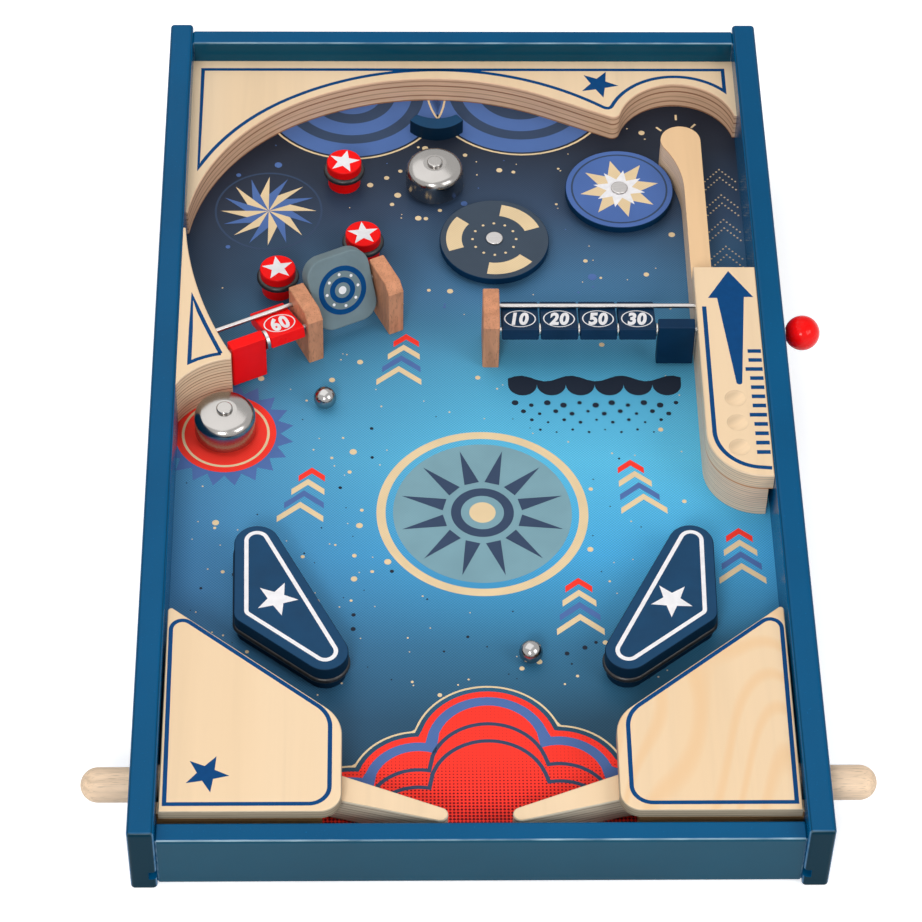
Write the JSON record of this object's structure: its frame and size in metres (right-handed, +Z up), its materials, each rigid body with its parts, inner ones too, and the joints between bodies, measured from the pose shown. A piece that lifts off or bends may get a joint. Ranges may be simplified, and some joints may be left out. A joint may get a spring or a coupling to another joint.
{
  "type": "tabletop pinball game",
  "caption": "Wooden tabletop pinball tray with button-driven flippers, spring launcher, flip-up score tabs, spinning discs, bells, bumpers and slingshots.",
  "frame": {"origin": "centre of the overall box in plan, on the table", "axes": "+X to the player's right, +Y from the player to the back of the tray, +Z up"},
  "size_m": [0.448, 0.6518, 0.1097],
  "materials": {
    "blue_paint": "satin petrol-blue paint",
    "playfield_print": "satin printed sheet on board",
    "birch_ply": "clear satin lacquer",
    "beech": "clear satin lacquer",
    "raw_dowel": "bare, sanded",
    "red_paint": "semi-gloss red paint",
    "navy_paint": "satin navy paint",
    "grey_paint": "satin blue-grey paint",
    "dark_disc": "satin printed sheet",
    "blue_disc": "satin printed sheet",
    "black_rubber": "smooth",
    "steel": "drawn",
    "nickel": "polished nickel"
  },
  "bodies": {
    "tray": {"left_side_board": "blue_paint", "right_side_board": "blue_paint", "front_rail": "blue_paint", "back_rail": "blue_paint", "left_rear_foot": "blue_paint", "right_rear_foot": "blue_paint", "playfield_panel": "playfield_print", "top_arch": "birch_ply", "left_guide": "birch_ply", "lane_divider": "birch_ply", "launcher_cover": "birch_ply", "left_cover": "birch_ply", "right_cover": "birch_ply", "left_cover_support": "birch_ply", "right_cover_support": "birch_ply", "left_gate_post": "beech", "middle_gate_post": "beech", "right_gate_post": "beech", "top_bumper": "red_paint", "left_bumper": "red_paint", "right_bumper": "red_paint", "left_slingshot": "navy_paint", "right_slingshot": "navy_paint", "deflector_block": "navy_paint", "bumper_rings": "black_rubber", "left_slingshot_band": "black_rubber", "right_slingshot_band": "black_rubber", "left_tab_axle": "steel", "left_stop_rod": "steel", "right_tab_axle": "steel", "right_stop_rod": "steel", "tab_spacers": "steel", "disc_pins": "steel", "flipper_pins": "steel", "launcher_spring": "steel", "left_button_spring": "steel", "right_button_spring": "steel", "top_bell": "nickel", "lower_bell": "nickel", "bell_posts": "nickel"},
    "left_disc": {"left_disc": "dark_disc"},
    "right_disc": {"right_disc": "blue_disc"},
    "spinner": {"spinner_plate": "grey_paint"},
    "tab_10": {"score_tab_10": "navy_paint"},
    "tab_20": {"score_tab_20": "navy_paint"},
    "tab_50": {"score_tab_50": "navy_paint"},
    "tab_30": {"score_tab_30": "navy_paint"},
    "tab_plain": {"score_tab_plain": "navy_paint"},
    "red_plain": {"red_tab_plain": "red_paint"},
    "red_60": {"red_tab_60": "red_paint"},
    "left_flipper": {"left_flipper": "birch_ply"},
    "right_flipper": {"right_flipper": "birch_ply"},
    "left_button": {"left_button": "raw_dowel"},
    "right_button": {"right_button": "raw_dowel"},
    "launcher": {"launcher_slider": "beech", "launcher_rod": "steel", "launcher_knob": "red_paint"},
    "ball_upper": {"ball_upper": "nickel"},
    "ball_lower": {"ball_lower": "nickel"}
  },
  "joints": [
    {"name": "left_disc_spin", "type": "hinge", "parent": "tray", "child": "left_disc", "pos_m": [0.0178, 0.15249, 0.06153], "axis": [0, -0.0872, 0.9962], "continuous": true},
    {"name": "right_disc_spin", "type": "hinge", "parent": "tray", "child": "right_disc", "pos_m": [0.1002, 0.19781, 0.0655], "axis": [0, -0.0872, 0.9962], "continuous": true},
    {"name": "spinner_spin", "type": "hinge", "parent": "tray", "child": "spinner", "pos_m": [-0.08099, 0.08836, 0.08202], "axis": [0.9026, 0.4289, 0.0375], "continuous": true},
    {"name": "tab_10_swing", "type": "hinge", "parent": "tray", "child": "tab_10", "pos_m": [0.0198, 0.05309, 0.07893], "axis": [1, 0, 0], "range_deg": [-163.74, 0]},
    {"name": "tab_20_swing", "type": "hinge", "parent": "tray", "child": "tab_20", "pos_m": [0.04404, 0.05309, 0.07893], "axis": [1, 0, 0], "range_deg": [-163.74, 0]},
    {"name": "tab_50_swing", "type": "hinge", "parent": "tray", "child": "tab_50", "pos_m": [0.06828, 0.05309, 0.07893], "axis": [1, 0, 0], "range_deg": [-163.74, 0]},
    {"name": "tab_30_swing", "type": "hinge", "parent": "tray", "child": "tab_30", "pos_m": [0.09252, 0.05309, 0.07893], "axis": [1, 0, 0], "range_deg": [-163.74, 0]},
    {"name": "tab_plain_swing", "type": "hinge", "parent": "tray", "child": "tab_plain", "pos_m": [0.11676, 0.05309, 0.07893], "axis": [1, 0, 0], "range_deg": [-90, 73.74]},
    {"name": "red_plain_swing", "type": "hinge", "parent": "tray", "child": "red_plain", "pos_m": [-0.14809, 0.0344, 0.0773], "axis": [0.9026, 0.4289, 0.0375], "range_deg": [-90, 73.74]},
    {"name": "red_60_swing", "type": "hinge", "parent": "tray", "child": "red_60", "pos_m": [-0.12513, 0.04531, 0.07825], "axis": [0.9026, 0.4289, 0.0375], "range_deg": [-163.74, 0]},
    {"name": "left_button_push", "type": "slide", "parent": "tray", "child": "left_button", "axis": [1, 0, 0], "range_m": [0, 0.0094], "stiffness_N_per_m": 150, "springref_m": -0.01, "deforming": ["left_button_spring"]},
    {"name": "left_flipper_swing", "type": "hinge", "parent": "tray", "child": "left_flipper", "pos_m": [-0.093, -0.25428, 0.02394], "axis": [0, -0.0872, 0.9962], "range_deg": [0, 35.06]},
    {"name": "right_button_push", "type": "slide", "parent": "tray", "child": "right_button", "axis": [-1, 0, 0], "range_m": [0, 0.0094], "stiffness_N_per_m": 150, "springref_m": -0.01, "deforming": ["right_button_spring"]},
    {"name": "right_flipper_swing", "type": "hinge", "parent": "tray", "child": "right_flipper", "pos_m": [0.093, -0.25428, 0.02394], "axis": [0, 0.0872, -0.9962], "range_deg": [0, 35.06]},
    {"name": "launcher_pull", "type": "slide", "parent": "tray", "child": "launcher", "axis": [0, -0.9962, -0.0872], "range_m": [0, 0.06], "stiffness_N_per_m": 60, "springref_m": -0.02, "deforming": ["launcher_spring"]},
    {"name": "ball_upper_lift", "type": "slide", "parent": "tray", "child": "ball_upper", "axis": [0, -0.0872, 0.9962], "range_m": [0, 0.03]},
    {"name": "ball_lower_lift", "type": "slide", "parent": "tray", "child": "ball_lower", "axis": [0, -0.0872, 0.9962], "range_m": [0, 0.03]}
  ],
  "couplings": [
    {"joint": "left_flipper_swing", "follows": "left_button_push", "rad_per_m": 65},
    {"joint": "right_flipper_swing", "follows": "right_button_push", "rad_per_m": 65}
  ]
}
